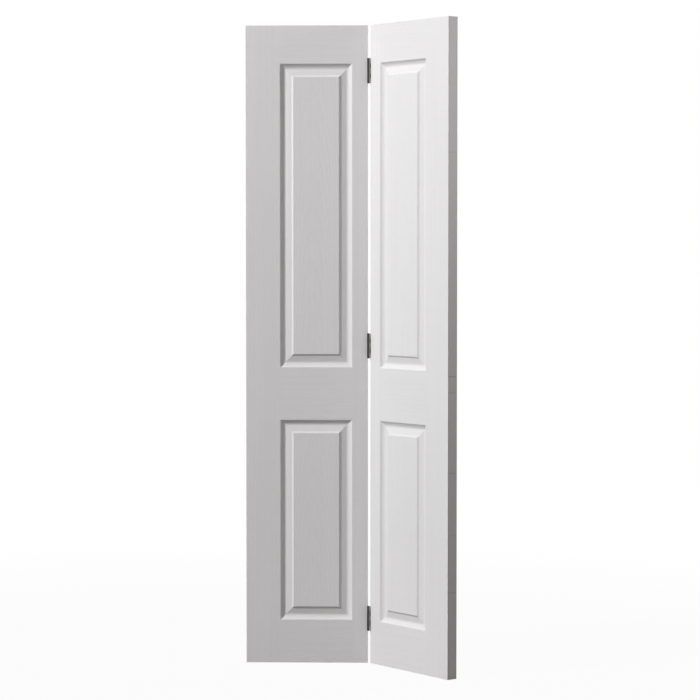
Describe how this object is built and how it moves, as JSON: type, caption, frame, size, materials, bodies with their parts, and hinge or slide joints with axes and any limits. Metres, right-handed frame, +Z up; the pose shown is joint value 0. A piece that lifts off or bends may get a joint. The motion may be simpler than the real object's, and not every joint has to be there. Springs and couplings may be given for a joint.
{
  "type": "bifold closet door",
  "caption": "Folding closet door: two moulded hollow-core leaves with raised panels, joined by butt hinges, bored for pivot and guide pins.",
  "frame": {"origin": "mouth of the bottom pivot bore, in the middle of the pivot leaf's thickness, at the foot of the door", "axes": "+X along the pivot leaf from its outer edge to the fold, +Y to the back of the pivot leaf, away from the hinge pins, +Z up"},
  "size_m": [0.6504, 0.3342, 1.981],
  "materials": {
    "primed_skin": "white primer on embossed fibreboard",
    "stile_timber": "white primer on finger-jointed pine",
    "rail_timber": "bare sawn pine",
    "kraft_core": "raw kraft paper",
    "galvanised_wire": "galvanised",
    "hinge_bronze": "dark bronze, satin",
    "hinge_pin": "dark bronze, satin",
    "hinge_screw": "dark bronze, satin"
  },
  "bodies": {
    "pivot_leaf": {"pivot_front_skin": "primed_skin", "pivot_back_skin": "primed_skin", "pivot_hinge_stile": "stile_timber", "pivot_outer_stile": "stile_timber", "pivot_top_rail": "rail_timber", "pivot_middle_rail": "rail_timber", "pivot_bottom_rail": "rail_timber", "pivot_upper_core": "kraft_core", "pivot_lower_core": "kraft_core", "pivot_frame_staples": "galvanised_wire", "top_hinge_fixed_leaf": "hinge_bronze", "top_hinge_fixed_screws": "hinge_screw", "top_hinge_pin": "hinge_pin", "middle_hinge_fixed_leaf": "hinge_bronze", "middle_hinge_fixed_screws": "hinge_screw", "middle_hinge_pin": "hinge_pin", "bottom_hinge_fixed_leaf": "hinge_bronze", "bottom_hinge_fixed_screws": "hinge_screw", "bottom_hinge_pin": "hinge_pin"},
    "lead_leaf": {"lead_front_skin": "primed_skin", "lead_back_skin": "primed_skin", "lead_hinge_stile": "stile_timber", "lead_outer_stile": "stile_timber", "lead_top_rail": "rail_timber", "lead_middle_rail": "rail_timber", "lead_bottom_rail": "rail_timber", "lead_upper_core": "kraft_core", "lead_lower_core": "kraft_core", "lead_frame_staples": "galvanised_wire", "top_hinge_swing_leaf": "hinge_bronze", "top_hinge_swing_screws": "hinge_screw", "middle_hinge_swing_leaf": "hinge_bronze", "middle_hinge_swing_screws": "hinge_screw", "bottom_hinge_swing_leaf": "hinge_bronze", "bottom_hinge_swing_screws": "hinge_screw"}
  },
  "joints": [
    {"name": "fold", "type": "hinge", "parent": "pivot_leaf", "child": "lead_leaf", "pos_m": [0.362, -0.0225, 0.9905], "axis": [0, 0, -1], "range_deg": [-51.3, 128.7]}
  ]
}
